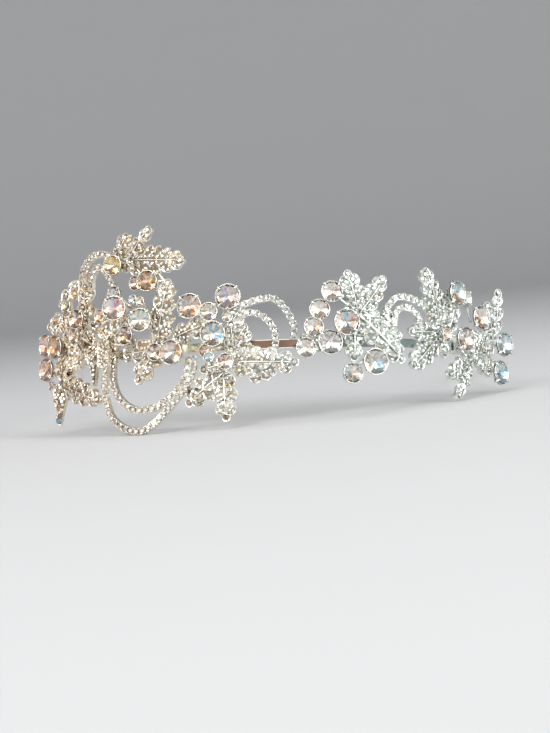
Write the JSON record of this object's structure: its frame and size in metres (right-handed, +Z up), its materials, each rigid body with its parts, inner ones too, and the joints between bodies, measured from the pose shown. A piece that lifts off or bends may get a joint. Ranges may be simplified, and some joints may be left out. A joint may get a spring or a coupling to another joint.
{
  "type": "bridal headband",
  "caption": "Silver-toned bridal headband: a thin U-shaped band with sprays of pave leaves, round crystals in cups and looped rows of small stones along its front.",
  "frame": {"origin": "middle of the bounding box, on the surface that the headband lies on", "axes": "+X to the wearer's left seen from the front, along the band's width; -Y towards the front of the band, where the ornament is; +Z up from the surface, with the band lying down and its front raised by the ornament below it"},
  "size_m": [0.1457, 0.1342, 0.0603],
  "materials": {
    "band_metal": "polished silver-toned plate",
    "setting_metal": "polished silver-toned cast leaves, cups and wires",
    "stone_chain": "row of small square cups with a clear stone in each",
    "crystal": "clear cut crystal with a faint rainbow coating"
  },
  "bodies": {
    "root": {"band": "band_metal", "crown_spray": "setting_metal", "left_spray": "setting_metal", "left_mid_spray": "setting_metal", "centre_left_spray": "setting_metal", "centre_spray": "setting_metal", "bead_row": "setting_metal", "right_spray": "setting_metal", "far_right_spray": "setting_metal", "right_end_spray": "setting_metal", "crystal_01": "crystal", "crystal_02": "crystal", "crystal_03": "crystal", "crystal_04": "crystal", "crystal_05": "crystal", "crystal_06": "crystal", "crystal_07": "crystal", "crystal_08": "crystal", "crystal_09": "crystal", "crystal_10": "crystal", "crystal_11": "crystal", "crystal_12": "crystal", "crystal_13": "crystal", "crystal_14": "crystal", "crystal_15": "crystal", "crystal_16": "crystal", "crystal_17": "crystal", "crystal_18": "crystal", "crystal_19": "crystal", "crystal_20": "crystal", "crystal_21": "crystal", "crystal_22": "crystal", "crystal_23": "crystal", "crystal_24": "crystal", "crystal_25": "crystal", "crystal_26": "crystal", "crystal_27": "crystal", "crystal_28": "crystal", "crystal_29": "crystal", "crystal_30": "crystal", "crystal_31": "crystal", "crystal_32": "crystal", "crystal_33": "crystal", "crystal_34": "crystal", "crystal_35": "crystal", "crystal_36": "crystal", "crystal_37": "crystal", "crystal_38": "crystal", "accent_stones": "crystal", "swag_outer": "stone_chain", "swag_inner": "stone_chain", "left_arch_outer": "stone_chain", "left_arch_inner": "stone_chain", "centre_arch_outer": "stone_chain", "centre_arch_inner": "stone_chain", "right_arch_outer": "stone_chain", "right_arch_inner": "stone_chain"}
  },
  "joints": []
}
